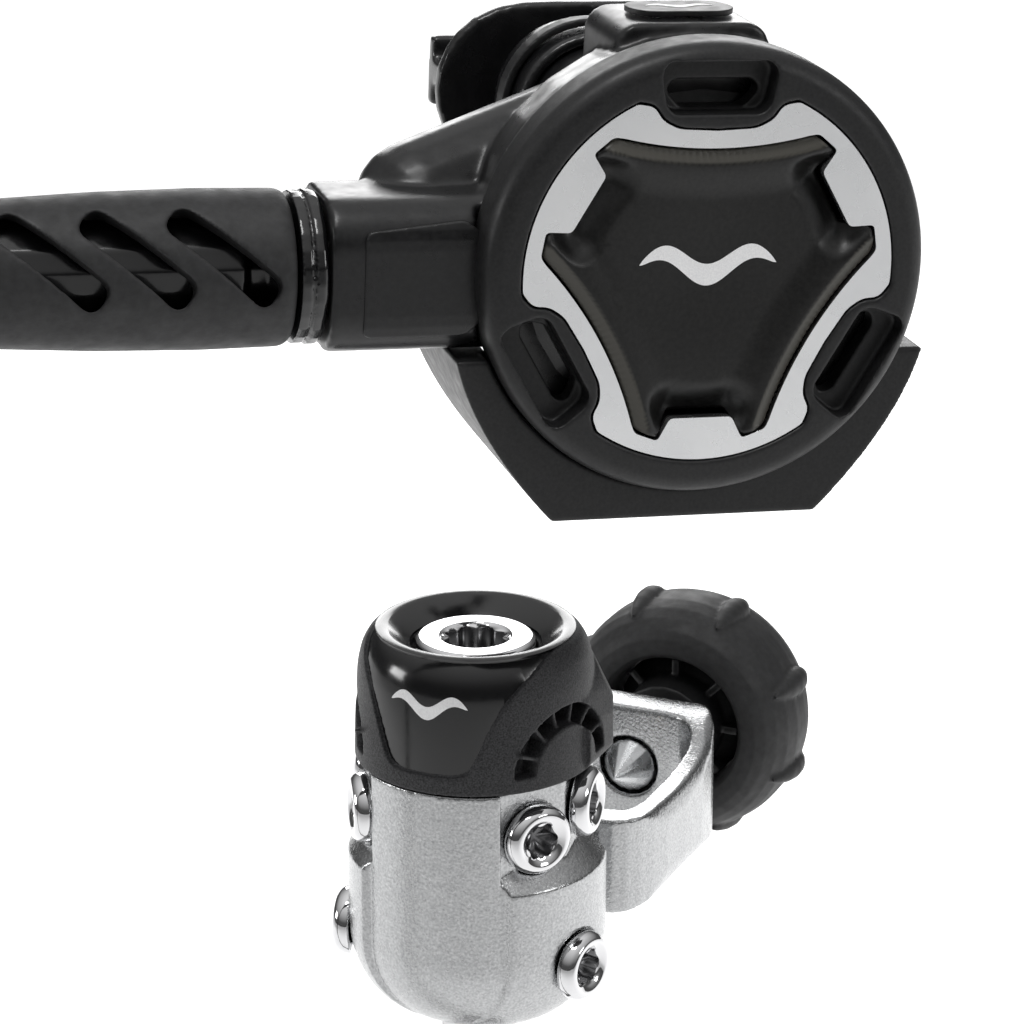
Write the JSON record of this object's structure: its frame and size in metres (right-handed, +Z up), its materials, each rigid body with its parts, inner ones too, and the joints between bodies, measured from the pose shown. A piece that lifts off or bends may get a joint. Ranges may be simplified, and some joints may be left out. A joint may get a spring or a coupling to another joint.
{
  "type": "scuba regulator set",
  "caption": "yoke first stage with a screw-down knob, port plugs and a capped diaphragm chamber, joined by a low-pressure hose to a round demand second stage with a purge button and mouthpiece",
  "frame": {"origin": "centre of the yoke's inlet seat, where the tank valve presses", "axes": "+Y runs from the seat to the yoke knob along the yoke screw, +Z is up along the first stage body, +X is to the right seen from the front"},
  "size_m": [0.2253, 0.2735, 0.3695],
  "materials": {
    "satin_metal": "satin, bead-blasted chrome plate",
    "chrome": "polished chrome plate",
    "steel": "turned stainless steel",
    "brass": "machined brass",
    "black_plastic": "fine-grained matt black moulding",
    "gloss_black": "semi-gloss black moulding",
    "black_rubber": "matt black rubber",
    "hose_rubber": "smooth black hose cover",
    "silicone": "satin black silicone",
    "white_plastic": "plain white valve plastic"
  },
  "bodies": {
    "regulator": {"first_stage_body": "satin_metal", "diaphragm_cap": "black_plastic", "adjuster_plug": "chrome", "first_stage_diaphragm": "black_rubber", "spring_pad": "brass", "main_spring": "steel", "valve_seat": "steel", "poppet_spring": "steel", "spring_carrier": "brass", "low_pressure_plug_right_front": "chrome", "low_pressure_plug_right_rear": "chrome", "low_pressure_plug_left_front": "chrome", "low_pressure_plug_left_rear": "chrome", "high_pressure_plug_right": "chrome", "high_pressure_plug_left": "chrome", "first_stage_ferrule": "chrome", "first_stage_hose_boot": "black_rubber", "yoke": "satin_metal", "inlet_retainer": "chrome", "inlet_filter": "brass", "inlet_seal": "black_rubber", "second_stage_case": "black_plastic", "cover_ring": "black_plastic", "trim_ring": "satin_metal", "top_badge": "gloss_black", "exhaust_tee": "black_plastic", "exhaust_valve": "silicone", "second_stage_diaphragm": "silicone", "purge_spring": "steel", "valve_barrel": "brass", "valve_orifice": "brass", "demand_spring": "steel", "mouthpiece": "silicone", "mouthpiece_tie": "black_plastic", "swivel_nut": "gloss_black", "hose_protector": "black_rubber", "second_stage_ferrule": "gloss_black", "hose": "hose_rubber"},
    "screw_tip": {"screw_cone": "steel"},
    "knob": {"yoke_screw": "steel", "knob_hub": "black_plastic", "knob_grip": "black_rubber"},
    "purge": {"purge_button": "gloss_black"},
    "disc": {"diaphragm_disc": "steel"},
    "lever": {"demand_lever": "steel"},
    "demand_valve": {"demand_poppet": "white_plastic"},
    "first_stage_valve": {"valve_poppet": "white_plastic", "lift_pin": "brass"}
  },
  "joints": [
    {"name": "screw_advance", "type": "slide", "parent": "regulator", "child": "screw_tip", "axis": [0, -1, 0], "range_m": [-0.0034, 0.0069]},
    {"name": "knob_turn", "type": "hinge", "parent": "screw_tip", "child": "knob", "pos_m": [0, 0.06, 0], "axis": [0, -1, 0], "range_deg": [-720, 1440]},
    {"name": "purge_press", "type": "slide", "parent": "regulator", "child": "purge", "axis": [-0.6293, 0.7771, 0], "range_m": [0, 0.003], "stiffness_N_per_m": 1500, "springref_m": -0.0012, "deforming": ["purge_spring"]},
    {"name": "disc_travel", "type": "slide", "parent": "regulator", "child": "disc", "axis": [-0.6293, 0.7771, 0], "range_m": [0, 0.0026], "deforming": ["second_stage_diaphragm"]},
    {"name": "lever_swing", "type": "hinge", "parent": "regulator", "child": "lever", "pos_m": [0.03563, -0.04895, 0.12447], "axis": [0.0339, 0.0275, 0.999], "range_deg": [0, 9.5]},
    {"name": "demand_lift", "type": "slide", "parent": "regulator", "child": "demand_valve", "axis": [0.7764, 0.6287, -0.0436], "range_m": [0, 0.0012], "deforming": ["demand_spring"]},
    {"name": "first_stage_lift", "type": "slide", "parent": "regulator", "child": "first_stage_valve", "axis": [0, 0, -1], "range_m": [0, 0.0008], "stiffness_N_per_m": 4000, "springref_m": -0.0006, "deforming": ["poppet_spring", "main_spring", "first_stage_diaphragm"]}
  ],
  "couplings": [
    {"joint": "knob_turn", "follows": "screw_advance", "rad_per_m": 3590.4},
    {"joint": "disc_travel", "follows": "purge_press", "ratio": 0.8},
    {"joint": "lever_swing", "follows": "purge_press", "rad_per_m": 51.667},
    {"joint": "demand_lift", "follows": "purge_press", "ratio": 0.3333}
  ]
}
